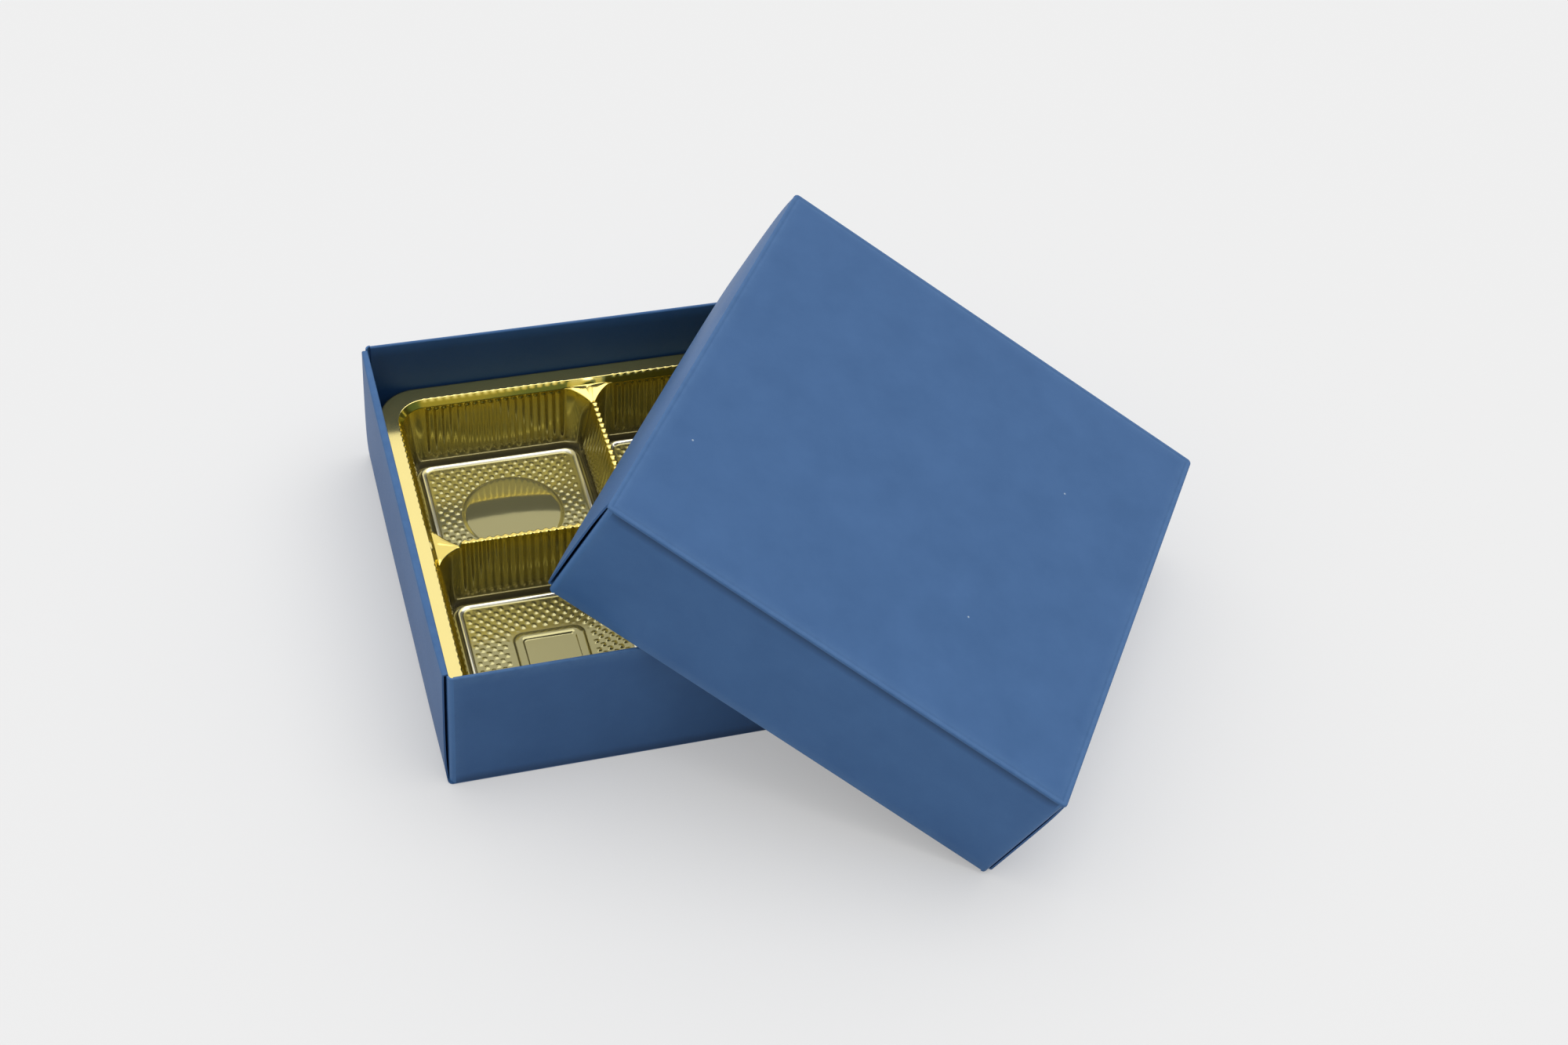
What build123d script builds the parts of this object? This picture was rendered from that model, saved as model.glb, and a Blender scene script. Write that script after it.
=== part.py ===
"""Four-piece chocolate box: a card base, a card lid and a formed tray, panel by panel.

Sizes are in millimetres. The origin is the middle of the base's underside, with X along
the front wall, Y towards the back wall and Z up. A carton is built with its panel down
and its walls up; the lid is the same carton turned over and leant against the base.
"""
import os
from math import cos, radians, sin

from build123d import *

# Card that both cartons are folded from, and the space between two folded layers
CARD = 0.45
LAYER_GAP = 0.05

# Base carton, front to back and in height
BASE_DEPTH = 114
BASE_HEIGHT = 38

# Folds, corners and roll-over sides of either carton
BEND_RADIUS = 1.3
CREASE_RADIUS = 0.4
SLOT_WIDTH = 1.8
FLAP_LENGTH = 28
FLAP_TAPER = 5
SIDE_FLARE = 1.0
SIDE_BULGE = 0.7

# Lid carton, its room around the base, and how it leans on the base (degrees)
LID_CLEARANCE = 0.85
LID_HEIGHT = 35.4
LID_TURN = -36.19
LID_TILT = 23.08
LEAN_GAP = 0.05

# Formed tray: sheet, seat in the base, flange, and the sloped band and ledge inside it
SHEET = 0.35
TRAY_LIFT = 0.3
TRAY_CLEARANCE = 0.65
FLANGE_BORDER = 4.2
FLANGE_CORNER = 10
FLANGE_TOP = 22.2
BAND_DROP = 1.6
BAND_DRAFT = 1.3
BAND_CORNER = 6.5
LEDGE_WIDTH = 0.6

# Formed tray: the four cavities and their dividers
DIVIDER_DROP = 0.9
DIVIDER_WIDTH = 1.0
DIVIDER_DRAFT = 2.75
DIVIDER_END = 5.4
OUTER_DRAFT = 2.4
MOUTH_CORNER = 5.8
FOOT_CORNER = 3.6

# Formed tray: the cavity floors and the pads on them
GUTTER_WIDTH = 0.9
PLATFORM_RISE = 1.8
PLATFORM_ROUND = 0.7
FLOOR_EDGE = 1.6
FLOOR_SINK = 0.5
PAD_RISE = 0.5
ROUND_PAD_RADIUS = 12.5
SQUARE_PAD_WIDTH = 17.2
SQUARE_PAD_CORNER = 2.5
SQUARE_PAD_BORDER = 1.9
SQUARE_SINK_CORNER = 1.4

# Overrun of every cut past what it cuts
OVERCUT = 5

# Placements that follow from the sizes above
BASE_HALF = BASE_DEPTH / 2
DOUBLE_WALL = 2 * CARD + LAYER_GAP
SIDE_TOP = LAYER_GAP + SIDE_FLARE + CARD
SIDE_REACH = LAYER_GAP + SIDE_FLARE / 2 + SIDE_BULGE + CARD
LID_HALF = BASE_HALF + SIDE_REACH + LID_CLEARANCE + DOUBLE_WALL
FLANGE_HALF = BASE_HALF - DOUBLE_WALL - TRAY_CLEARANCE
RIM_HALF = FLANGE_HALF - FLANGE_BORDER
BAND_FOOT_HALF = RIM_HALF - BAND_DRAFT
MOUTH_HALF = BAND_FOOT_HALF - LEDGE_WIDTH
TRAY_FOOT = CARD + TRAY_LIFT
GUTTER_TOP = TRAY_FOOT + SHEET
LEDGE_TOP = FLANGE_TOP - BAND_DROP
DIVIDER_TOP = FLANGE_TOP - DIVIDER_DROP
DIVIDER_REACH = BAND_FOOT_HALF - DIVIDER_END
FLOOR_TOP = GUTTER_TOP + PLATFORM_RISE - FLOOR_SINK
FOOT_NEAR = DIVIDER_WIDTH / 2 + DIVIDER_DRAFT
LEDGE_NEAR = DIVIDER_WIDTH / 2 + DIVIDER_DRAFT * (DIVIDER_TOP - LEDGE_TOP) / (DIVIDER_TOP - GUTTER_TOP)
FOOT_FAR = MOUTH_HALF - OUTER_DRAFT
CAVITY_CENTRE = (FOOT_NEAR + FOOT_FAR) / 2


def block(x_range, y_range, z_range):
    """Box between two values on each axis."""
    spans = (x_range, y_range, z_range)
    middle = [(low + high) / 2 for low, high in spans]
    return Pos(*middle) * Box(*[high - low for low, high in spans])


def slab(width, corner, bottom, top):
    """Square plate with rounded upright edges, about the Z axis."""
    return Pos(0, 0, bottom) * extrude(RectangleRounded(width, width, corner), top - bottom)


# Panels of a carton, each for a given half depth and height


def panel(half):
    """Flat panel that the four walls are folded up from."""
    reach = half + LAYER_GAP + CARD
    plate = block((-reach, reach), (-half, half), (0, CARD))
    creases = plate.edges().group_by(Axis.Z)[0]
    return fillet(creases, CREASE_RADIUS)


def front_layer(half, height, outside, fold_side):
    """One layer of the front wall between the corner bends, rounded at its top fold."""
    reach = half - BEND_RADIUS
    plate = block((-reach, reach), (outside, outside + CARD), (CARD, height))
    top_edges = plate.edges().filter_by(Axis.X).group_by(Axis.Z)[-1]
    return fillet(top_edges.sort_by(Axis.Y)[fold_side], CREASE_RADIUS)


def corner_flap(half, height):
    """Rounded bend at the left end of the front wall and the tucked flap behind it."""
    turn = half - BEND_RADIUS
    centre = Pos(-turn, -turn, (CARD + height) / 2)
    bend = centre * (Cylinder(BEND_RADIUS, height - CARD) - Cylinder(BEND_RADIUS - CARD, height))
    bend &= block((-half, -turn), (-half, -turn), (CARD, height))
    low = CARD
    high = height - CARD - LAYER_GAP
    far = FLAP_LENGTH - half
    corners = ((-turn, low), (far, low + FLAP_TAPER), (far, high - FLAP_TAPER), (-turn, high))
    sheet = extrude(Plane.YZ * make_face(Polyline(*corners, close=True)), CARD)
    return bend + Pos(-half, 0, 0) * sheet


def side_outer(half, height):
    """Outside layer of the left wall, leaning out and bulging along its length."""
    foot = -half - LAYER_GAP
    head = foot - SIDE_FLARE
    low = CARD
    high = height - CARD
    middle = ((foot + head) / 2 - SIDE_BULGE, (low + high) / 2)
    inner = ThreePointArc((foot, low), middle, (head, high))
    outer = Pos(-CARD, 0, 0) * inner
    outline = inner + outer + Line(inner @ 0, outer @ 0) + Line(inner @ 1, outer @ 1)
    return extrude(Plane.XZ * make_face(outline), half - SLOT_WIDTH, both=True)


def side_strip(half, height):
    """Narrow top of the left wall, over its two layers and the flaps between them."""
    reach = half - SLOT_WIDTH
    plate = block((-half - SIDE_TOP, DOUBLE_WALL - half), (-reach, reach), (height - CARD, height))
    folds = plate.edges().filter_by(Axis.Y).group_by(Axis.Z)[-1]
    return fillet(folds, CREASE_RADIUS)


def side_inner(half, height):
    """Inside layer of the left wall, down to the panel."""
    outside = CARD + LAYER_GAP - half
    reach = half - SLOT_WIDTH
    return block((outside, outside + CARD), (-reach, reach), (CARD, height - CARD))


def carton(half, height):
    """All the named panels of one carton, panel down and walls up."""
    front = {
        "outer": front_layer(half, height, -half, 0),
        "inner": front_layer(half, height, CARD + LAYER_GAP - half, -1),
    }
    left = {
        "outer": side_outer(half, height),
        "strip": side_strip(half, height),
        "inner": side_inner(half, height),
    }
    flap = corner_flap(half, height)
    panels = {"panel": panel(half)}
    for layer, shape in front.items():
        panels[f"front_{layer}"] = shape
        panels[f"back_{layer}"] = mirror(shape, Plane.XZ)
    for layer, shape in left.items():
        panels[f"left_{layer}"] = shape
        panels[f"right_{layer}"] = mirror(shape, Plane.YZ)
    for wall, tucked in (("front", flap), ("back", mirror(flap, Plane.XZ))):
        panels[f"{wall}_left_flap"] = tucked
        panels[f"{wall}_right_flap"] = mirror(tucked, Plane.YZ)
    return panels


def base_nodes():
    """Base carton, standing on the origin."""
    return {f"base_{name}": shape for name, shape in carton(BASE_HALF, BASE_HEIGHT).items()}


def lid_lean():
    """Place of the lid: right rim on the table, front and back rims on two base walls."""
    turn = radians(LID_TURN)
    tilt = radians(LID_TILT)
    rim_drop = LID_HEIGHT * cos(tilt)
    panel_height = LEAN_GAP + (LID_HALF + SIDE_TOP) * sin(tilt) + rim_drop
    # Distance along the lid from its middle to where its rim passes the base's walls
    crossing = (panel_height - rim_drop - BASE_HEIGHT - LEAN_GAP) / sin(tilt)
    reach = crossing * cos(tilt) - LID_HEIGHT * sin(tilt)
    inside = LID_HALF - DOUBLE_WALL
    x = BASE_HALF + SIDE_TOP - reach * cos(turn) + inside * sin(turn)
    y = -BASE_HALF - reach * sin(turn) + inside * cos(turn)
    return Pos(x, y, panel_height) * Rot(0, 0, LID_TURN) * Rot(0, LID_TILT, 0)


def lid_nodes():
    """Lid carton, turned over and leant on the base's front and right walls."""
    lean = lid_lean()
    panels = carton(LID_HALF, LID_HEIGHT)
    return {f"lid_{name}": lean * mirror(shape, Plane.XY) for name, shape in panels.items()}


# Forms of the tray. Each takes a depth: how far below the visible skin the form lies


def square_outline(half, corner, level):
    """Square with rounded corners about the Z axis, at one level."""
    return Pos(0, 0, level) * RectangleRounded(2 * half, 2 * half, corner)


def recess(depth):
    """Drafted hollow inside the flange, down to the ledge around the cavities."""
    foot = square_outline(BAND_FOOT_HALF + depth, BAND_CORNER + depth, LEDGE_TOP - depth)
    # The band's slope carries on above the flange, so that the cut goes right through it
    slope = BAND_DRAFT / BAND_DROP
    head_level = FLANGE_TOP + OVERCUT
    head_half = BAND_FOOT_HALF + depth + slope * (head_level - LEDGE_TOP)
    head_corner = BAND_CORNER + depth + slope * (head_level - LEDGE_TOP)
    return loft([foot, square_outline(head_half, head_corner, head_level)])


def divider(depth):
    """Raised top of the divider along X, standing on the ledge's level."""
    low, high = LEDGE_NEAR - depth, DIVIDER_WIDTH / 2 - depth
    bottom, top = LEDGE_TOP - depth, DIVIDER_TOP - depth
    outline = Polyline((-low, bottom), (low, bottom), (high, top), (-high, top), close=True)
    return extrude(Plane.YZ * make_face(outline), DIVIDER_REACH - depth, both=True)


def cavity(depth):
    """Drafted hollow of the back right cavity."""
    foot = square_between(FOOT_NEAR - depth, FOOT_FAR + depth, FOOT_CORNER + depth, GUTTER_TOP - depth)
    mouth_corner = MOUTH_CORNER + depth
    mouth = square_between(LEDGE_NEAR - depth, MOUTH_HALF + depth, mouth_corner, LEDGE_TOP)
    return loft([foot, mouth])


def square_between(near, far, corner, level):
    """Rounded square in the back right quarter, from near to far on both axes."""
    middle = (near + far) / 2
    return Pos(middle, middle, level) * RectangleRounded(far - near, far - near, corner)


def platform(depth):
    """Raised floor of a cavity with its rounded edge and sunk middle, about the Z axis."""
    width = FOOT_FAR - FOOT_NEAR - 2 * GUTTER_WIDTH
    corner = FOOT_CORNER - GUTTER_WIDTH - depth
    top = GUTTER_TOP + PLATFORM_RISE - depth
    plate = slab(width - 2 * depth, corner, TRAY_FOOT - OVERCUT, top)
    plate = fillet(plate.edges().group_by(Axis.Z)[-1], PLATFORM_ROUND - depth)
    sunk_width = width - 2 * FLOOR_EDGE + 2 * depth
    return plate - slab(sunk_width, corner, FLOOR_TOP - depth, top + OVERCUT)


def round_pad(depth):
    """Smooth raised disc in the middle of a cavity floor."""
    return Pos(0, 0, FLOOR_TOP - depth) * Cylinder(ROUND_PAD_RADIUS - depth, 2 * PAD_RISE)


def square_pad(depth):
    """Raised square with a sunk middle."""
    top = FLOOR_TOP + PAD_RISE - depth
    pad = slab(SQUARE_PAD_WIDTH - 2 * depth, SQUARE_PAD_CORNER - depth, top - 2 * PAD_RISE, top)
    sunk_width = SQUARE_PAD_WIDTH - 2 * SQUARE_PAD_BORDER + 2 * depth
    return pad - slab(sunk_width, SQUARE_SINK_CORNER + depth, top - PAD_RISE, top + OVERCUT)


def tray_form(depth, half):
    """Everything below the tray's visible skin, out to half of the given width."""
    form = slab(2 * half, FLANGE_CORNER, TRAY_FOOT - OVERCUT, FLANGE_TOP - depth)
    form -= recess(depth)
    form += [divider(depth), Rot(0, 0, 90) * divider(depth)]
    hollow = cavity(depth)
    hollows = [hollow, mirror(hollow, Plane.YZ)]
    hollows += [mirror(shape, Plane.XZ) for shape in hollows]
    form -= hollows
    for side_x, side_y in ((-1, -1), (-1, 1), (1, -1), (1, 1)):
        place = Pos(side_x * CAVITY_CENTRE, side_y * CAVITY_CENTRE, 0)
        pad = square_pad(depth) if side_x + side_y < 0 and side_x == side_y else round_pad(depth)
        form += place * (platform(depth) + pad)
    return form


def tray():
    """Tray: the thin sheet between its upper and lower skins."""
    return tray_form(0, FLANGE_HALF) - tray_form(SHEET, FLANGE_HALF + OVERCUT)


def nodes():
    """Every physical piece, by node name."""
    return {**base_nodes(), "tray": tray(), **lid_nodes()}


if __name__ == "__main__":
    os.makedirs("parts", exist_ok=True)
    for name, shape in nodes().items():
        export_step(shape, f"parts/{name}.step")
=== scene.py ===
"""Looks of a chocolate box for four: two folded card cartons and a formed gold tray.

Sizes in this script are in millimetres and become metres in each mesh. X runs along the
front wall, Y towards the back wall and Z up, with the origin under the middle of the base.
"""

from math import cos, pi, radians, sin

import bmesh
import bpy
import numpy as np
from mathutils import Euler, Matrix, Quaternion, Vector

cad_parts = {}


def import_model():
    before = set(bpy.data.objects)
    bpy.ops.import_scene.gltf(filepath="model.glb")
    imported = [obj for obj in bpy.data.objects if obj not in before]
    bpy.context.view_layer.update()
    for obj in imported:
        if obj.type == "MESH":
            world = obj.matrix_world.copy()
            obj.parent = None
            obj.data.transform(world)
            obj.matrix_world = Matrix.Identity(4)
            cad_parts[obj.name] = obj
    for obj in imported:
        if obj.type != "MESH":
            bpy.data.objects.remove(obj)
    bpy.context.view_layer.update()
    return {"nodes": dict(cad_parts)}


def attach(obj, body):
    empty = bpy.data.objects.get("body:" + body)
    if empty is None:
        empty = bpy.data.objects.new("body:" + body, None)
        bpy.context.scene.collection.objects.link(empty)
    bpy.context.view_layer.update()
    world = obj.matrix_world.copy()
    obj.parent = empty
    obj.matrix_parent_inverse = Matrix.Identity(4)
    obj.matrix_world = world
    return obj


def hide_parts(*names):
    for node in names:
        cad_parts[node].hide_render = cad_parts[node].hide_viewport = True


MM = 0.001

# Card, its folds and corners, the same in both cartons
CARD = 0.45
PRESSED_CARD = CARD / 3
LAYER_GAP = 0.05
BEND_RADIUS = 1.3
SLOT_WIDTH = 1.8
SIDE_FLARE = 1.0
SIDE_BULGE = 0.7
SIDE_FULLNESS = 8
END_HOLD = 0.45
INNER_LEAN = 0.5
CREASE_RADIUS = 0.42
STRIP_RADIUS = 0.44
PANEL_CORNER = 1.2
GROOVE_INSET = 1.2
GROOVE_WIDTH = 1.0
GROOVE_DEPTH = 0.12
WALL_BOW = 0.15
PANEL_BOW = 0.25
SIDE_WAVE = 0.04
SIDE_WAVE_LENGTH = 9
END_HOLD_POWER = 5

# Wear and painted shade of the card: 1 is a rubbed fold, below 0 is darker card: painted shade on the fold's
# inner liner, and darker along the wall's foot
FOLD_WEAR_DEPTHS = (1.0, 0.1)
FOOT_DARKENING_LEVELS = (0.7, 1.7)
INNER_SHADE = 0.65
END_WEAR = 0.3
END_WEAR_REACH = 2.0
SIDE_WEAR = 0.5
PANEL_WEAR = 0.5
PANEL_WEAR_INSETS = (0.2, 4.0)

# Steps of the card's outlines, where its top folds' arcs start and which edges stay sharp (degrees)
WALL_STEPS = 12
FOLD_STEPS = 8
FOLD_START = 18
SIDE_STEPS = 14
STRIP_STEPS = 5
STRIP_START = 15
STATION_COUNT = 33
PANEL_EDGE_LINES = (0, 0.04, 0.1, 0.18, 0.28, 0.42, 0.6, 0.75, 0.9, 1.05, 1.2, 1.35, 1.5, 1.7, 2.0, 2.6, 4.0)
PANEL_MIDDLE_LINES = 17
SHARP_ANGLE = 30

# Base carton, and the lid carton with how it leans on the base (degrees)
BASE_HALF = 57
BASE_HEIGHT = 38
LID_CLEARANCE = 0.85
LID_HEIGHT = 35.4
LID_TURN = -36.19
LID_TILT = 23.08
LEAN_GAP = 0.05

# Formed tray: the solid's sheet, the film that shows, its seat, its flange and the sloped band inside
SHEET = 0.35
FILM = 0.1
WELD_GAP = 0.004
TRAY_LIFT = 0.3
TRAY_CLEARANCE = 0.65
FLANGE_BORDER = 4.2
FLANGE_STEPS = (0.5, FLANGE_BORDER / 2, FLANGE_BORDER - 0.3, FLANGE_BORDER)
FLANGE_CORNER = 10
FLANGE_TOP = 22.2
BAND_DROP = 1.6
BAND_DRAFT = 1.3
BAND_CORNER = 6.5
SCALLOP = 0.22
BUMP_LENGTH = 3.0
BUMP_RISE = 0.28

# The band from its foot up: share of its width and share of its height
BAND_SHARES = (
    (0.05, 0.05),
    (0.15, 0.15),
    (0.5, 0.5),
    (0.8, 0.8),
    (0.92, 0.92),
    (0.97, 0.98),
    (1.01, 1.0),
    (1.06, 1.0),
)
SCALLOP_SHARES = (0.8, 0.98)

# Formed tray: dividers, with the gussets that join them to the band
DIVIDER_TOP = 21.3
DIVIDER_VALLEY = 0.2
CENTRE_LINE_REACH = 0.01
BEAD_DEPTH = 0.28
GUSSET_BACK = 21.0
GUSSET_APEX = 19.7
GUSSET_CUT = 0.75
GUSSET_CUT_START = 0.2
GUSSET_CORNER = 5.7
GUSSET_EDGE = 0.5
GUSSET_SIDES = (4.2, 5.8)
BEAD_CLIMB = 0.9
QUARTER_SHARES = (0.08, 0.2, 0.4, 0.7, 1.0)
QUARTER_CLIMB = 0.45

# Formed tray: cavity walls and their flutes
FOOT_NEAR = 3.25
FOOT_CORNER = 3.6
OUTER_DRAFT = 2.95
FLUTE_COUNT = 18
FLUTE_STEPS = 8
FLUTE_DEPTH = 0.3
FLUTE_FADE_LOW = 4.6
FLUTE_FADE_HIGH = 6.8
FLUTE_TIP = 19.8
CORNER_STEPS = 24
WALL_LEVELS = (1.6, 2.4, 3.4, 4.4, 4.9, 5.4, 5.9, 6.4, 7.0, 9.0, 12.0, 15.0, 18.0, 19.3, FLUTE_TIP)

# Above the flutes' tips: share of the way up to the band, and share of the flute left there
FLUTE_END_SHARES = ((0.15, 0.85), (0.35, 0.35), (0.6, 0.2), (0.85, 0.08), (1.0, 0))

# Formed tray: the gutter and ridge round each floor, by distance in from the wall and rise
GUTTER_WIDTH = 0.9
GUTTER_STEPS = ((0.12, 0.0), (0.45, 0.0), (0.8, 0.02), (0.93, 0.25), (1.0, 0.8), (1.1, 1.3), (1.25, 1.62))
RIDGE_START = 1.4
RIDGE_WIDTH = 1.7
RIDGE_TOP = 2.95
RIDGE_STEPS = 9
RIDGE_SLOPE = 1.1

# Formed tray: knurled floors, and how they fade out towards the ridge and each pad
FLOOR_TOP = 2.4
KNURL_PITCH = 2.8
KNURL_HEIGHT = 0.22
KNURL_GAP = 0.1
KNURL_RINGS = 38
KNURL_FADE = 0.9
ROUND_MARGINS = (-0.1, 0.5)
SQUARE_MARGINS = (0.9, 2.0)

# Formed tray: pads, with the rise of each ring by how far it lies outside the pad's edge
ROUND_PAD_EDGE = 0.75
SQUARE_PAD_EDGE = 0.45
ROUND_PAD_RADIUS = 12.5
ROUND_PAD_STEPS = ((0.6, 0.06), (0.4, 0.15), (0.2, 0.26), (0.0, 0.36), (-0.2, 0.44), (-0.45, 0.5))
PAD_DOME = 0.55
SQUARE_PAD_HALF = 8.6
SQUARE_PAD_CORNER = 2.5
SQUARE_PAD_LEAST_CORNER = 1.0
SQUARE_PAD_STEPS = (
    (0.3, 0.12),
    (0.15, 0.3),
    (0.0, 0.43),
    (-0.25, 0.5),
    (-1.75, 0.5),
    (-1.9, 0.42),
    (-2.1, 0.24),
    (-2.3, 0.2),
)
PAD_FACE_SHARES = (0.95, 0.88, 0.78, 0.66, 0.52, 0.37, 0.2, 0.03)

# Camera: place, the point it aims at on the table, roll (degrees), lens and sensor
CAMERA_PLACE = (-115.256, -409.387, 458.672)
CAMERA_AIM = (44.107, 9.884, 0)
CAMERA_ROLL = 6.5945
CAMERA_LENS = 55.906
CAMERA_SENSOR = 36
CAMERA_CLIP = (0.01, 50)

# Light: lamp overhead, soft surroundings that are brightest behind the box, and pale floor
SUN_FROM = (0.3, 0.05, 0.95)
SUN_SOFTNESS = 54
SUN_STRENGTH = 1.0
SKY_BRIGHT = 0.98
SKY_DIM = 0.2
SKY_LEAN = (-0.1, 0.6, 0.78)
SKY_SPREAD = (-0.2, 0.4)
BACKGROUND = 0.83
TABLE_SHADE = 0.77
SHADOW_SHARE = 0.6
FLOOR_SIZE = 8000

# Placements that follow from the sizes above
DOUBLE_WALL = 2 * CARD + LAYER_GAP
SIDE_TOP = LAYER_GAP + SIDE_FLARE + CARD
SIDE_REACH = LAYER_GAP + SIDE_FLARE / 2 + SIDE_BULGE + CARD
LID_HALF = BASE_HALF + SIDE_REACH + LID_CLEARANCE + DOUBLE_WALL
FLANGE_HALF = BASE_HALF - DOUBLE_WALL - TRAY_CLEARANCE
RIM_HALF = FLANGE_HALF - FLANGE_BORDER
BAND_FOOT_HALF = RIM_HALF - BAND_DRAFT
BAND_FOOT_LEVEL = FLANGE_TOP - BAND_DROP
GUTTER_TOP = CARD + TRAY_LIFT + SHEET
FOOT_FAR = BAND_FOOT_HALF - OUTER_DRAFT
SIDE_START = FOOT_NEAR + FOOT_CORNER
SIDE_END = FOOT_FAR - FOOT_CORNER
CAVITY_CENTRE = (FOOT_NEAR + FOOT_FAR) / 2


def smooth(low, high, value):
    """0 below low, 1 above high and a soft step between."""
    share = np.clip((value - low) / (high - low), 0, 1)
    return share * share * (3 - 2 * share)


# Meshes


def make_object(name, points, faces, material):
    """Mesh object from points in millimetres."""
    mesh = bpy.data.meshes.new(name)
    mesh.from_pydata((np.asarray(points) * MM).tolist(), [], faces)
    mesh.materials.append(material)
    thing = bpy.data.objects.new(name, mesh)
    bpy.context.scene.collection.objects.link(thing)
    return thing


def grid_faces(rows, columns, start=0, closed=False):
    """Quads between neighbouring rows of points."""
    faces = []
    for row in range(rows - 1):
        for column in range(columns if closed else columns - 1):
            after = (column + 1) % columns
            low = start + row * columns
            faces.append((low + column, low + after, low + columns + after, low + columns + column))
    return faces


def border_loop(rows, columns):
    """Indices round the edge of a grid of points."""
    loop = list(range(columns))
    loop += [row * columns + columns - 1 for row in range(1, rows)]
    loop += [(rows - 1) * columns + column for column in range(columns - 2, -1, -1)]
    loop += [row * columns for row in range(rows - 2, 0, -1)]
    return loop


def thick_sheet(name, outer, inner, wear_and_shade, material):
    """Closed sheet of card between two grids of points, with its worn places and its painted shade marked."""
    rows, columns = outer.shape[:2]
    count = rows * columns
    faces = grid_faces(rows, columns) + grid_faces(rows, columns, count)
    loop = border_loop(rows, columns)
    for one, other in zip(loop, loop[1:] + loop[:1]):
        faces.append((one, other, count + other, count + one))
    points = np.concatenate([outer.reshape(-1, 3), inner.reshape(-1, 3)])
    thing = make_object(name, points, faces, material)
    marks = thing.data.attributes.new("wear_and_shade", "FLOAT", "POINT")
    marks.data.foreach_set("value", np.tile(wear_and_shade.reshape(-1), 2).astype(np.float32))
    finish_normals(thing)
    return thing


def finish_normals(thing):
    """Outward normals, smooth but for the sharp edges."""
    form = bmesh.new()
    form.from_mesh(thing.data)
    bmesh.ops.recalc_face_normals(form, faces=form.faces)
    form.to_mesh(thing.data)
    form.free()
    thing.data.shade_smooth()
    thing.data.set_sharp_from_angle(angle=radians(SHARP_ANGLE))


# Cartons: every outline is a list of (distance out from the middle, height) pairs


def arc_points(centre, radius, start, end, steps):
    """Points on an arc, angles in degrees."""
    angles = np.radians(np.linspace(start, end, steps + 1))
    return [(centre[0] + radius * cos(a), centre[1] + radius * sin(a)) for a in angles]


def straight_points(start, end, steps):
    """Evenly spaced points on a line, both ends included."""
    return [tuple(p) for p in np.linspace(start, end, steps + 1)]


def folded_wall(half, height):
    """Outer and inner outlines of the front wall, a sheet folded over at its top."""
    fold = DOUBLE_WALL / 2
    centre = (half - fold, height - fold)
    back = half - 2 * fold
    outer = straight_points((half, CARD), (half, centre[1]), WALL_STEPS)
    outer += arc_points(centre, fold, FOLD_START, 180 - FOLD_START, FOLD_STEPS)
    outer += straight_points((back, centre[1]), (back, CARD), WALL_STEPS)
    inner = straight_points((half - CARD, CARD), (half - CARD, centre[1]), WALL_STEPS)
    inner += arc_points(centre, fold - CARD, FOLD_START, 180 - FOLD_START, FOLD_STEPS)
    inner += straight_points((back + CARD, centre[1]), (back + CARD, CARD), WALL_STEPS)
    return np.array(outer), np.array(inner)


def roll_over_wall(half, height, flare, bulge):
    """Outer and inner outlines of the left wall, a hollow roll-over with a bulged outside."""
    foot = half + LAYER_GAP
    low = CARD
    high = height - STRIP_RADIUS
    share = np.linspace(0, 1, SIDE_STEPS + 1)
    lean = foot + flare * (1 - (1 - share) ** SIDE_FULLNESS) + 4 * bulge * share * (1 - share)
    rise = low + (high - low) * share
    foot_face = half - DOUBLE_WALL
    near = foot_face + INNER_LEAN
    outer_bend = (foot + flare + CARD - STRIP_RADIUS, high)
    inner_bend = (near + STRIP_RADIUS, high)
    outer = list(zip(lean + CARD, rise))
    outer += arc_points(outer_bend, STRIP_RADIUS, STRIP_START, 90, STRIP_STEPS)
    outer += arc_points(inner_bend, STRIP_RADIUS, 90, 180 - STRIP_START, STRIP_STEPS)
    outer += straight_points((near, high), (foot_face, low), WALL_STEPS)
    inner = list(zip(lean, rise))
    inner += [(foot + flare, height - CARD)] * (STRIP_STEPS + 1)
    inner += [(near + CARD, height - CARD)] * (STRIP_STEPS + 1)
    inner += straight_points((near + CARD, high - CARD / 2), (foot_face + CARD, low), WALL_STEPS)
    return np.array(outer), np.array(inner)


def fold_wear(outline, height):
    """How worn the card is at each point of an outline: most along the top fold."""
    low, high = FOLD_WEAR_DEPTHS
    return smooth(height - low, height - high, outline[:, 1])


def sweep(outline_at, stations, place):
    """Grid of points: an outline at each station along a wall, put in place."""
    return np.array([[place(station, *pair) for pair in outline_at(station)] for station in stations])


def wall_stations(reach):
    """Stations along a wall, closer together at both ends."""
    return reach * np.sin(np.linspace(-pi / 2, pi / 2, STATION_COUNT))


def front_wall(half, height, side):
    """Outer and inner grids of the front wall, or of the back wall for side 1."""
    outer, inner = folded_wall(half, height)
    reach = half - BEND_RADIUS

    def place(station, out, up):
        bow = WALL_BOW * cos(station / reach * pi / 2) * sin(up / height * pi / 2)
        return (station, side * (out - bow), up)

    stations = wall_stations(reach)
    # Darker along the wall's foot, and painted shade on the fold's inner liner
    darkened = 1 - smooth(*FOOT_DARKENING_LEVELS, outer[:, 1])
    darkened = np.where(outer[:, 0] < half - CARD, INNER_SHADE, darkened)
    ends = END_WEAR * smooth(reach - END_WEAR_REACH, reach, np.abs(stations))[:, None]
    wear_and_shade = np.maximum(fold_wear(outer, height), ends) - darkened
    return sweep(lambda s: outer, stations, place), sweep(lambda s: inner, stations, place), wear_and_shade


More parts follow.
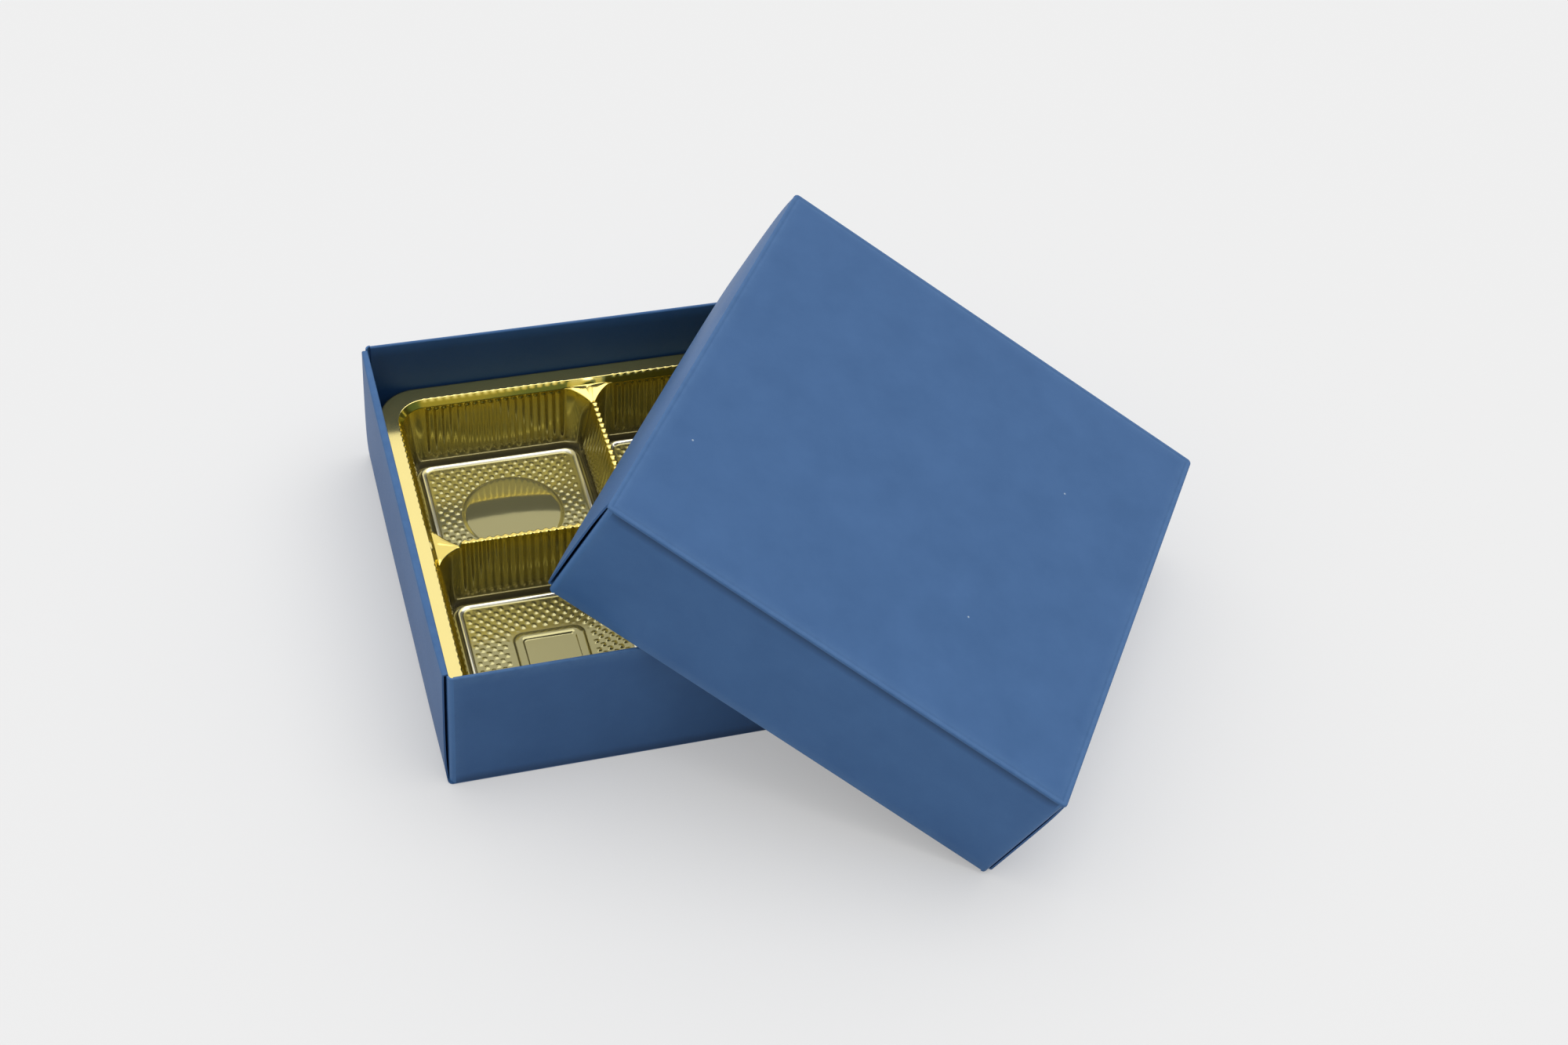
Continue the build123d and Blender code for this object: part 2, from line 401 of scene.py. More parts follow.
def side_wall(half, height, side):
    """Outer and inner grids of the left wall, or of the right wall for side 1."""
    reach = half - SLOT_WIDTH
    stations = wall_stations(reach)

    def outline(station):
        held = 1 - END_HOLD * abs(station / reach) ** END_HOLD_POWER
        wave = SIDE_WAVE * (sin(station / SIDE_WAVE_LENGTH) - 1)
        bulge = (SIDE_BULGE - SIDE_FLARE / 2) * held + wave
        return roll_over_wall(half, height, SIDE_FLARE * held, bulge)

    def place(station, out, up):
        return (side * out, station, up)

    outer = sweep(lambda s: outline(s)[0], stations, place)
    inner = sweep(lambda s: outline(s)[1], stations, place)
    wear_and_shade = np.tile(fold_wear(outline(0)[0], height), (len(stations), 1))
    return outer, inner, SIDE_WEAR * wear_and_shade


def panel_lines(reach):
    """Places of grid lines across a panel, close together at its edges."""
    edge = np.array(PANEL_EDGE_LINES)
    middle = np.linspace(edge[-1] - reach, reach - edge[-1], PANEL_MIDDLE_LINES)[1:-1]
    return np.concatenate([edge - reach, middle, (reach - edge)[::-1]])


def round_corner(x, y, reach_x, reach_y):
    """Pulls the square corners of a panel's grid in to rounded ones."""
    across = max(abs(x) - reach_x + PANEL_CORNER, 0)
    along = max(abs(y) - reach_y + PANEL_CORNER, 0)
    if across == 0 or along == 0:
        return x, y
    pull = max(across, along) / (across**2 + along**2) ** 0.5
    new_x = reach_x - PANEL_CORNER + across * pull
    new_y = reach_y - PANEL_CORNER + along * pull
    return new_x * np.sign(x), new_y * np.sign(y)


def panel_inset(x, y, reach_x, reach_y):
    """Distance from a place on the panel to its nearest edge."""
    across = abs(x) - reach_x + PANEL_CORNER
    along = abs(y) - reach_y + PANEL_CORNER
    outside = (max(across, 0) ** 2 + max(along, 0) ** 2) ** 0.5
    return PANEL_CORNER - outside - min(max(across, along), 0)


def panel_height(inset, x, y, half):
    """Outer face of a panel: rounded edge crease, pressed groove and slight hollow."""
    edge = max(CREASE_RADIUS - inset, 0)
    crease = CREASE_RADIUS - (CREASE_RADIUS**2 - min(edge, CREASE_RADIUS) ** 2) ** 0.5
    groove = max(1 - ((inset - GROOVE_INSET) / (GROOVE_WIDTH / 2)) ** 2, 0) ** 2
    bow = PANEL_BOW * cos(x / half * pi / 2) * cos(y / half * pi / 2)
    return crease + GROOVE_DEPTH * groove + max(bow, 0)


def panel_grids(half):
    """Outer and inner grids of a carton's panel."""
    reach_x = half + LAYER_GAP + CARD
    outer, inner, wear_and_shade = [], [], []
    for y in panel_lines(half):
        for x in panel_lines(reach_x):
            new_x, new_y = round_corner(x, y, reach_x, half)
            inset = max(panel_inset(new_x, new_y, reach_x, half), 0)
            level = panel_height(inset, new_x, new_y, half)
            outer.append((new_x, new_y, level))
            inner.append((new_x, new_y, max(CARD, level + PRESSED_CARD)))
            wear_and_shade.append(PANEL_WEAR * (1 - smooth(*PANEL_WEAR_INSETS, inset)))
    columns = len(panel_lines(reach_x))
    shape = (-1, columns, 3)
    wear_and_shade = np.array(wear_and_shade).reshape(-1, columns)
    return np.array(outer).reshape(shape), np.array(inner).reshape(shape), wear_and_shade


def lid_lean():
    """Turn, tilt and place of the lid: one rim on the table, two on the base's walls."""
    turn = radians(LID_TURN)
    tilt = radians(LID_TILT)
    rim_drop = LID_HEIGHT * cos(tilt)
    height = LEAN_GAP + (LID_HALF + SIDE_TOP) * sin(tilt) + rim_drop
    crossing = (height - rim_drop - BASE_HEIGHT - LEAN_GAP) / sin(tilt)
    reach = crossing * cos(tilt) - LID_HEIGHT * sin(tilt)
    inside = LID_HALF - DOUBLE_WALL
    x = BASE_HALF + SIDE_TOP - reach * cos(turn) + inside * sin(turn)
    y = -BASE_HALF - reach * sin(turn) + inside * cos(turn)
    rotation = Euler((0, 0, turn)).to_matrix() @ Euler((0, tilt, 0)).to_matrix()
    return np.array(rotation), np.array((x, y, height))


def lean_points(points):
    """Carton points turned over and put where the lid leans."""
    rotation, place = lid_lean()
    return (points * (1, 1, -1)) @ rotation.T + place


def carton(prefix, half, height, put, wall_skin, panel_skin):
    """Pieces of one carton, each riding on its body in place of its CAD panels."""
    sheets = {
        "front_wall": (front_wall(half, height, -1), ("front_outer", "front_inner"), wall_skin),
        "back_wall": (front_wall(half, height, 1), ("back_outer", "back_inner"), wall_skin),
        "left_wall": (side_wall(half, height, -1), ("left_outer", "left_strip", "left_inner"), wall_skin),
        "right_wall": (side_wall(half, height, 1), ("right_outer", "right_strip", "right_inner"), wall_skin),
        "top_panel": (panel_grids(half), ("panel",), panel_skin),
    }
    for name, ((outer, inner, wear_and_shade), panels, skin) in sheets.items():
        piece = thick_sheet(f"{prefix}_{name}", put(outer), put(inner), wear_and_shade, skin)
        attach(piece, prefix)
        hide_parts(*[f"{prefix}_{panel}" for panel in panels])


# Tray: rings of points round the back right cavity, mirrored to the other three


def corner_path(start, corner, end, radius, steps, cut=0):
    """Points between two sides, round the corner or cutting straighter across it, ends left out."""
    start, corner, end = [np.array(p, float) for p in (start, corner, end)]
    into = (corner - start) / np.linalg.norm(corner - start)
    away = (end - corner) / np.linalg.norm(end - corner)
    first = corner - into * radius
    centre = first + away * radius
    run_in = np.linalg.norm(first - start)
    run_out = np.linalg.norm(end - corner) - radius
    quarter = radius * pi / 4
    points = []
    for step in range(1, steps):
        share = 2 * step / steps
        if share <= 1:
            along = share * (run_in + quarter)
        else:
            along = run_in + quarter + (share - 1) * (quarter + run_out)
        if along <= run_in:
            points.append(start + into * along)
        elif along >= run_in + 2 * quarter:
            points.append(corner + away * (radius + along - run_in - 2 * quarter))
        else:
            angle = (along - run_in) / radius
            bent = centre - away * radius * cos(angle) + into * radius * sin(angle)
            straight = first + (into + away) * radius * angle / (pi / 2)
            points.append(bent + (straight - bent) * cut)
    return points


def side_places():
    """Places of the points along a straight side."""
    return np.linspace(SIDE_START, SIDE_END, FLUTE_COUNT * FLUTE_STEPS + 1)


def flute_profile():
    """Rib shape repeated along a straight side, from 0 in a valley to 1 on a crest."""
    phase = np.linspace(0, FLUTE_COUNT * 2 * pi, FLUTE_COUNT * FLUTE_STEPS + 1)
    return (1 - np.cos(phase)) / 2


def ring(near, far, radii, cut=0):
    """Closed loop round the cavity. The radii are of its near, mixed and far corners."""
    side = side_places()
    near_radius, mixed_radius, far_radius = radii
    first, last = side[0], side[-1]
    points = [(u, near) for u in side]
    points += corner_path((last, near), (far, near), (far, first), mixed_radius, CORNER_STEPS, cut)
    points += [(far, v) for v in side]
    points += corner_path((far, last), (far, far), (last, far), far_radius, CORNER_STEPS)
    points += [(u, far) for u in side[::-1]]
    points += corner_path((first, far), (near, far), (near, last), mixed_radius, CORNER_STEPS, cut)
    points += [(near, v) for v in side[::-1]]
    points += corner_path((near, first), (near, near), (first, near), near_radius, CORNER_STEPS)
    return np.array(points)


def ring_masks():
    """Which points of a ring lie on the near sides and on the far sides, and their rib profile."""
    side = len(side_places())
    gap = CORNER_STEPS - 1
    rise = smooth(0, 1, np.arange(1, CORNER_STEPS) / CORNER_STEPS)
    near_side, far_side = np.zeros(side), np.ones(side)
    near_corner, far_corner = np.zeros(gap), np.ones(gap)
    far = [near_side, rise, far_side, far_corner, far_side, rise[::-1], near_side, near_corner]
    profile = np.concatenate([flute_profile(), np.zeros(gap)] * 4)
    inward = []
    for direction in ((0, 1), (-1, 0), (0, -1), (1, 0)):
        inward += [direction] * side + [(0, 0)] * gap
    return np.concatenate(far), profile, np.array(inward, float)


def flat_ring(points, level):
    """Ring of 3-D points at one level, or at a level for each point."""
    return np.column_stack([points, np.broadcast_to(level, len(points))])


def wall_ring(level, rib_far, rib_near):
    """Ring on the cavity wall at a level, with the ribs standing out from it."""
    far, profile, inward = ring_masks()
    near_share = (level - GUTTER_TOP) / (DIVIDER_TOP - GUTTER_TOP)
    far_share = (level - GUTTER_TOP) / (BAND_FOOT_LEVEL - GUTTER_TOP)
    near_edge = FOOT_NEAR + (DIVIDER_VALLEY - FOOT_NEAR) * near_share
    far_edge = FOOT_FAR + (BAND_FOOT_HALF - FOOT_FAR) * far_share
    radius = FOOT_CORNER + (BAND_CORNER - FOOT_CORNER) * far_share
    mixed = FOOT_CORNER + (GUSSET_CORNER - FOOT_CORNER) * far_share
    cut = GUSSET_CUT * float(smooth(GUSSET_CUT_START, 1, far_share))
    points = ring(near_edge, far_edge, (radius, mixed, radius), cut)
    rib = profile * (rib_near + (rib_far - rib_near) * far)
    return flat_ring(points + inward * rib[:, None], level)


def wall_rings():
    """Rings up the cavity wall, from the gutter to the tips of the ribs."""
    rings = []
    for level in (GUTTER_TOP + GUTTER_STEPS[0][0], *WALL_LEVELS):
        rib = FLUTE_DEPTH * float(smooth(FLUTE_FADE_LOW, FLUTE_FADE_HIGH, level))
        rings.append(wall_ring(level, rib, rib))
    return rings


def mouth_rings():
    """Rings over the ribs' tips, up to the band's foot and onto the divider's beads."""
    far, profile, _ = ring_masks()
    near = 1 - far
    rings = []
    for share, left in FLUTE_END_SHARES:
        level = FLUTE_TIP + (BAND_FOOT_LEVEL - FLUTE_TIP) * share
        points = wall_ring(level, FLUTE_DEPTH * left, FLUTE_DEPTH)
        climb = near * (DIVIDER_TOP - BAND_FOOT_LEVEL) * BEAD_CLIMB
        corner_climb = gusset_level(points, climb + BAND_FOOT_LEVEL) - BAND_FOOT_LEVEL
        climb = np.where(on_side() > 0, climb, corner_climb)
        dent = near * BEAD_DEPTH * (1 - profile) * on_side()
        points[:, 2] += (climb - dent) * share
        rings.append(points)
    return rings


def gusset_level(points, level):
    """Level with the sloped face of the gusset put in between the divider's end and the band."""
    outer = np.maximum(points[:, 0], points[:, 1])
    inner = np.minimum(points[:, 0], points[:, 1])
    climb = np.clip((outer - SIDE_END) / (BAND_FOOT_HALF - SIDE_END), 0, 1)
    face = GUSSET_APEX + (GUSSET_BACK - GUSSET_APEX) * climb
    share = smooth(SIDE_END, SIDE_END + GUSSET_EDGE, outer) * (1 - smooth(*GUSSET_SIDES, inner))
    return level + (face - level) * share


def on_side():
    """1 along the four straight sides of a ring."""
    return np.tile(np.concatenate([np.ones(len(side_places())), np.zeros(CORNER_STEPS - 1)]), 4)


def boundary_ring():
    """Outermost ring of a quarter: both centre lines and the foot of the rim's band."""
    points = ring(0, BAND_FOOT_HALF, (0, 0, BAND_CORNER))
    _, profile, _ = ring_masks()
    inner = np.minimum(points[:, 0], points[:, 1])
    beads = DIVIDER_TOP - BEAD_DEPTH * (1 - profile) * on_side()
    level = np.where(inner < CENTRE_LINE_REACH, beads, BAND_FOOT_LEVEL)
    return flat_ring(points, gusset_level(points, level))


def gusset_rings(mouth):
    """Rings from the mouth out to the quarter's boundary, over the dividers and gussets."""
    edge = boundary_ring()
    rings = []
    for share in QUARTER_SHARES:
        blend = mouth + (edge - mouth) * share
        rise = float(smooth(0, QUARTER_CLIMB, share))
        blend[:, 2] = mouth[:, 2] + (edge[:, 2] - mouth[:, 2]) * rise
        rings.append(blend)
    return rings


def floor_rings():
    """Rings of the gutter and the ridge's outer side, from the wall's foot inwards."""
    rings = []
    for inset, rise in GUTTER_STEPS:
        radius = FOOT_CORNER - inset
        points = ring(FOOT_NEAR + inset, FOOT_FAR - inset, (radius,) * 3)
        rings.append(flat_ring(points, GUTTER_TOP + rise))
    return rings


def ridge_rings():
    """Rings over the rounded ridge and down to the knurled floor."""
    rings = []
    for share in np.linspace(0, 1, RIDGE_STEPS):
        inset = RIDGE_START + (RIDGE_WIDTH - RIDGE_START + GUTTER_WIDTH) * share
        level = FLOOR_TOP + (RIDGE_TOP - FLOOR_TOP) * (1 + cos(pi * share**RIDGE_SLOPE)) / 2
        rings.append(flat_ring(ring_inside(inset), level))
    return rings


def ring_inside(inset):
    """Ring a distance inside the wall's foot, scaled down from the gutter's inner edge."""
    whole = ring(FOOT_NEAR + GUTTER_WIDTH, FOOT_FAR - GUTTER_WIDTH, (FOOT_CORNER - GUTTER_WIDTH,) * 3)
    half = (FOOT_FAR - FOOT_NEAR) / 2
    scale = (half - inset) / (half - GUTTER_WIDTH)
    return CAVITY_CENTRE + (whole - CAVITY_CENTRE) * scale


def rounded_square_reach(directions, half, radius):
    """Distance from the middle to a rounded square's edge along each direction."""
    aside = np.abs(directions)
    straight = half / aside.max(axis=1)
    core = half - radius
    along = aside.sum(axis=1) * core
    inside = np.sqrt(np.maximum(along**2 - 2 * core**2 + radius**2, 0))
    hit = straight[:, None] * aside
    in_corner = hit.min(axis=1) > core
    return np.where(in_corner, along + inside, straight)


def pad_reach(directions, square, grow):
    """Edge of a pad along each direction, grown or shrunk by a distance."""
    if not square:
        return np.full(len(directions), ROUND_PAD_RADIUS + grow)
    corner = max(SQUARE_PAD_CORNER + grow, SQUARE_PAD_LEAST_CORNER)
    return rounded_square_reach(directions, SQUARE_PAD_HALF + grow, corner)


def knurl(x, y):
    """Height of the staggered bumps at places on the floor."""
    turn = 2 * pi / KNURL_PITCH
    wave = np.cos(turn * x) * np.cos(turn * y)
    return KNURL_HEIGHT * np.clip(wave - KNURL_GAP, 0, None)


def knurled_rings(ridge_foot, square):
    """Rings of the knurled floor, from the ridge in to the pad, and the directions they follow."""
    middle = np.array((CAVITY_CENTRE, CAVITY_CENTRE))
    spokes = ridge_foot[:, :2] - middle
    reach = np.linalg.norm(spokes, axis=1)
    directions = spokes / reach[:, None]
    pad = pad_reach(directions, square, SQUARE_PAD_EDGE if square else ROUND_PAD_EDGE)
    margins = SQUARE_MARGINS if square else ROUND_MARGINS
    rings = []
    for share in np.linspace(0, 1, KNURL_RINGS + 1)[1:]:
        distance = reach + (pad - reach) * share
        places = middle + directions * distance[:, None]
        fade = smooth(0, KNURL_FADE, reach - distance) * smooth(*margins, distance - pad)
        rings.append(flat_ring(places, FLOOR_TOP + fade * knurl(places[:, 0], places[:, 1])))
    return rings, directions


def pad_rings(directions, square):
    """Rings over a pad's rounded edge and its face, in to near its middle."""
    middle = np.array((CAVITY_CENTRE, CAVITY_CENTRE))
    rings = []
    for grow, rise in SQUARE_PAD_STEPS if square else ROUND_PAD_STEPS:
        distance = pad_reach(directions, square, grow)
        rings.append(flat_ring(middle + directions * distance[:, None], FLOOR_TOP + rise))
    face = rings[-1]
    dome = 0 if square else PAD_DOME
    for share in PAD_FACE_SHARES:
        shrunk = face.copy()
        shrunk[:, :2] = middle + (face[:, :2] - middle) * share
        shrunk[:, 2] += dome * (1 - share**2)
        rings.append(shrunk)
    return rings


def cavity_rings(square):
    """All the closed rings of one quarter, from its middle outwards."""
    ridge = ridge_rings()
    knurled, directions = knurled_rings(ridge[-1], square)
    inner = pad_rings(directions, square)[::-1] + knurled[::-1] + ridge[::-1]
    top = mouth_rings()
    outer = floor_rings()[::-1] + wall_rings() + top
    return inner + outer + gusset_rings(top[-1])


def rim_path(half, radius):
    """Open path along the two far sides of a quarter, from one centre line to the other."""
    side = side_places()
    first, last = side[0], side[-1]
    lead = np.linspace(0, first, CORNER_STEPS // 2 + 1)[:-1]
    points = [(half, v) for v in lead]
    points += [(half, v) for v in side]
    points += corner_path((half, last), (half, half), (last, half), radius, CORNER_STEPS)
    points += [(u, half) for u in side[::-1]]
    points += [(u, half) for u in lead[::-1]]
    return np.array(points)


def rim_profile():
    """Scallop shape along the rim path, with its smooth stretches beside the dividers left out."""
    lead = CORNER_STEPS // 2
    flutes = flute_profile()
    gap = np.zeros(CORNER_STEPS - 1)
    still = np.zeros(lead)
    run = lead + len(flutes)
    outward = [(1, 0)] * run + [(0, 0)] * len(gap) + [(0, 1)] * run
    return np.concatenate([still, flutes, gap, flutes, still]), np.array(outward, float)


def rim_rings(foot_level):
    """Rings up the sloped band with its scalloped top edge, and out over the flange."""
    profile, outward = rim_profile()
    rings = []
    for share, climb in BAND_SHARES:
        out = BAND_DRAFT * share
        points = rim_path(BAND_FOOT_HALF + out, BAND_CORNER + out)
        scallop = SCALLOP * (1 - profile) * profile_on_side() * float(smooth(*SCALLOP_SHARES, share))
        points = points + outward * scallop[:, None]
        level = foot_level + (FLANGE_TOP - foot_level) * climb
        level = level + band_bump(points) * sin(pi * min(share, 1)) ** 2
        rings.append(flat_ring(points, level))
    start = BAND_CORNER + BAND_DRAFT
    for out in FLANGE_STEPS:
        radius = start + (FLANGE_CORNER - start) * out / FLANGE_BORDER
        rings.append(flat_ring(rim_path(RIM_HALF + out, radius), FLANGE_TOP))
    return rings


def band_bump(points):
    """Low oval bump in the smooth middle of each side of the band."""
    along = points.min(axis=1) / (BUMP_LENGTH / 2)
    return BUMP_RISE * np.maximum(1 - along**2, 0) ** 0.5


def profile_on_side():
    """1 along the scalloped sides of the rim path."""
    lead = CORNER_STEPS // 2
    side = len(side_places())
    gap = CORNER_STEPS - 1
    return np.concatenate([np.zeros(lead), np.ones(side), np.zeros(gap), np.ones(side), np.zeros(lead)])


def quarter(square):
    """Points and faces of one quarter of the tray, with a square pad or a round one."""
    rings = cavity_rings(square)
    count = len(rings[0])
    points = np.concatenate(rings)
    faces = grid_faces(len(rings), count, 0, closed=True)
    centre = len(points)
    middle = (CAVITY_CENTRE, CAVITY_CENTRE, points[0, 2])
    points = np.vstack([points, middle])
    faces += [(centre, (i + 1) % count, i) for i in range(count)]
    side = len(side_places())
    lead = CORNER_STEPS // 2
    path_length = 2 * side + CORNER_STEPS - 1 + 2 * lead
    start = (len(rings) - 1) * count + side - 1 + lead
    edge = [start + i for i in range(path_length)]
    rim = rim_rings(points[edge, 2])
    offset = len(points)
    points = np.vstack([points] + rim)
    faces += [(edge[i], edge[i + 1], offset + i + 1, offset + i) for i in range(path_length - 1)]
    faces += grid_faces(len(rim), path_length, offset)
    return points, faces


def tray(material):
    """The whole formed sheet, one piece riding on its own body."""
    round_quarter = quarter(False)
    square_quarter = quarter(True)
    points, faces = [], []
    for side_x, side_y in ((1, 1), (-1, 1), (1, -1), (-1, -1)):
        source, source_faces = square_quarter if side_x + side_y < 0 else round_quarter
        start = sum(len(p) for p in points)
        points.append(source * (side_x, side_y, 1))
        turned = side_x * side_y > 0
        faces += [tuple(start + i for i in (f if turned else f[::-1])) for f in source_faces]
    thing = make_object("formed_tray", np.concatenate(points), faces, material)
    form = bmesh.new()
    form.from_mesh(thing.data)
    bmesh.ops.remove_doubles(form, verts=form.verts, dist=WELD_GAP * MM)
    form.to_mesh(thing.data)
    form.free()
    thing.data.shade_smooth()
    sheet = thing.modifiers.new("sheet", "SOLIDIFY")
    sheet.thickness = FILM * MM
    sheet.offset = -1
    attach(thing, "tray")
    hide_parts("tray")


# Materials


def new_material(name):
    """Material with an empty node tree but for its shader."""
    material = bpy.data.materials.new(name)
    material.use_nodes = True
    shader = material.node_tree.nodes["Principled BSDF"]
    return material, material.node_tree, shader


def add_node(tree, kind, settings=None, **inputs):
    """Node of a kind, with its settings and its inputs as values or links."""
    node = tree.nodes.new(kind)
    for key, value in (settings or {}).items():
        setattr(node, key, value)
    for key, value in inputs.items():
        socket = node.inputs[int(key[1:])] if key[1:].isdigit() else node.inputs[key.replace("_", " ")]
        if isinstance(value, bpy.types.NodeSocket):
            tree.links.new(value, socket)
        else:
            socket.default_value = value
    return node


def noise(tree, place, scale, detail, roughness):
    """Noise, its scale in waves a metre."""
    return add_node(tree, "ShaderNodeTexNoise", Vector=place, Scale=scale, Detail=detail, Roughness=roughness)


def spread(tree, value, low, high, to_low=0.0, to_high=1.0):
    """Value mapped from one range to another."""
    node = add_node(tree, "ShaderNodeMapRange", i0=value, i1=low, i2=high, i3=to_low, i4=to_high)
    return node.outputs[0]


def blend_colours(tree, share, first, second):
    """Mix of two colours."""
    node = add_node(tree, "ShaderNodeMix", {"data_type": "RGBA"}, i0=share, i6=first, i7=second)
    return node.outputs[2]


def blend_numbers(tree, share, first, second):
    """Mix of two numbers."""
    return add_node(tree, "ShaderNodeMix", i0=share, i2=first, i3=second).outputs[0]


def times(tree, first, second):
    """Product of two values."""
    node = add_node(tree, "ShaderNodeMath", {"operation": "MULTIPLY"}, i0=first, i1=second)
    return node.outputs[0]


def larger(tree, first, second):
    """Larger of two values."""
    node = add_node(tree, "ShaderNodeMath", {"operation": "MAXIMUM"}, i0=first, i1=second)
    return node.outputs[0]


# Colours of the card by place; the bend and lid colours are lighter copies of the same card, painted light
CARD_DARK = (0.030, 0.098, 0.246, 1)
CARD_LIGHT = (0.037, 0.113, 0.275, 1)
CARD_WORN = (0.085, 0.185, 0.365, 1)
# Darker card: painted shade on the inner liners, and the darker feet of the walls
CARD_DARKENED = (0.014, 0.052, 0.135, 1)
# Lighter copy of the same card on the corner bends: painted light in the shaded slots
LIGHTENED_BEND_DARK = (0.048, 0.138, 0.320, 1)
LIGHTENED_BEND_LIGHT = (0.056, 0.154, 0.350, 1)
# Lighter copies of the same card on the lid's walls and top: painted light
LIGHTENED_LID_WALL_DARK = (0.040, 0.121, 0.294, 1)
LIGHTENED_LID_WALL_LIGHT = (0.049, 0.139, 0.326, 1)
LIGHTENED_LID_TOP_DARK = (0.036, 0.106, 0.256, 1)
LIGHTENED_LID_TOP_LIGHT = (0.045, 0.122, 0.286, 1)
DUST = (0.34, 0.42, 0.52, 1)

# Finish of the card. Each noise has a scale in waves a metre, a detail and a roughness
MOTTLE = (75, 4, 0.6)
FIBRE = (2600, 3, 0.7)
RUB = (420, 3, 0.5)
NOISE_RANGE = (0.3, 0.7)
CARD_SPECULAR = 0.24
CARD_ROUGHNESS = (0.46, 0.56)
RUB_STRENGTH = (0.35, 0.8)
GRAIN_DEPTH = 0.05
GRAIN_STRENGTH = 0.25
SPECK_SCALE = 26.0
SPECK_SIZE = (0.004, 0.008)
SPECK_CHOICE = (0.52, 0.56)


def card_material(name, dark=CARD_DARK, light=CARD_LIGHT, dusty=False):
    """Blue through-dyed card: faint mottling, fine fibre grain, paler folds, and darker card where the value
    is below 0: painted shade on inner liners and a darker foot.
    """
    material, tree, shader = new_material(name)
    place = add_node(tree, "ShaderNodeTexCoord").outputs["Object"]
    mottle = noise(tree, place, *MOTTLE).outputs[0]
    fibre = noise(tree, place, *FIBRE).outputs[0]
    colour = blend_colours(tree, spread(tree, mottle, *NOISE_RANGE), dark, light)
    wear_and_shade = add_node(tree, "ShaderNodeAttribute", {"attribute_name": "wear_and_shade"}).outputs["Fac"]
    patches = noise(tree, place, *RUB).outputs[0]
    rubbed = times(tree, wear_and_shade, spread(tree, patches, *NOISE_RANGE, *RUB_STRENGTH))
    colour = blend_colours(tree, rubbed, colour, CARD_WORN)
    # Painted shade: darker card where the value is below 0
    colour = blend_colours(tree, spread(tree, wear_and_shade, 0, -1), colour, CARD_DARKENED)
    if dusty:
        colour = blend_colours(tree, dust_specks(tree), colour, DUST)
    tree.links.new(colour, shader.inputs["Base Color"])
    shader.inputs["Specular IOR Level"].default_value = CARD_SPECULAR
    rough = spread(tree, fibre, *NOISE_RANGE, *CARD_ROUGHNESS)
    tree.links.new(rough, shader.inputs["Roughness"])
    depth = GRAIN_DEPTH * MM
    grain = add_node(tree, "ShaderNodeBump", Strength=GRAIN_STRENGTH, Distance=depth, Height=fibre)
    tree.links.new(grain.outputs[0], shader.inputs["Normal"])
    return material


def dust_specks(tree):
    """A few tiny pale specks, from the panel's own flat coordinates."""
    flat = add_node(tree, "ShaderNodeAttribute", {"attribute_name": "flat_place"}).outputs["Vector"]
    on_plane = {"voronoi_dimensions": "2D"}
    cells = add_node(tree, "ShaderNodeTexVoronoi", on_plane, Vector=flat, Scale=SPECK_SCALE)
    near = spread(tree, cells.outputs["Distance"], *SPECK_SIZE, 1, 0)
    chosen = add_node(tree, "ShaderNodeSeparateColor", i0=cells.outputs["Color"]).outputs[0]
    return times(tree, near, spread(tree, chosen, *SPECK_CHOICE))


# Colours of the gold film by place, and how like a mirror it is
GOLD_FLANGE = (1.0, 0.84, 0.33, 1)
GOLD_GUSSET = (0.92, 0.73, 0.20, 1)
GOLD_BAND = (0.74, 0.57, 0.05, 1)
GOLD_WALL = (0.56, 0.49, 0.15, 1)
GOLD_FOOT = (0.34, 0.31, 0.19, 1)
GOLD_FLOOR = (0.40, 0.365, 0.175, 1)
# Near-white film on the ridge tops: a painted highlight
GOLD_RIDGE_HIGHLIGHT = (0.95, 0.92, 0.78, 1)
GOLD_METALLIC = 0.93
FLOOR_METALLIC = 0.72
PAD_METALLIC = 0.68
GOLD_ROUGHNESS = (0.11, 0.16)
FLOOR_ROUGHENING = 1.15
PAD_ROUGHENING = 0.55

# Levels between which one look of the film turns into the next, and the slopes that count as level
FOOT_TO_WALL = (3, 9)
WALL_TO_BAND = (17, 21)
FLOOR_TO_GUSSET = (4, 18)
GUSSET_TO_FLANGE = (21.5, 22.0)
FLOOR_TO_PAD = (2.75, 2.88)
HAZY_TO_CLEAR = (3.8, 5.0)
RIDGE_FOOT = (2.6, 2.8)
RIDGE_CAP = (3.1, 3.2)
RIDGE_EDGE = 1
LEVEL_SLOPES = (0.62, 0.9)

# Haze, wrinkles and drawing marks of the film: noises, depths and strengths
HAZE = (300, 4, 0.5)
WRINKLE = (160, 2, 0.5)
WRINKLE_DEPTH = 0.2
WRINKLE_STRENGTH = 0.05
SCRATCH_SQUEEZE = (2400, 90, 90)
SCRATCH = (1, 2, 0.5)
SCRATCH_DEPTH = 0.03
SCRATCH_STRENGTH = 0.10


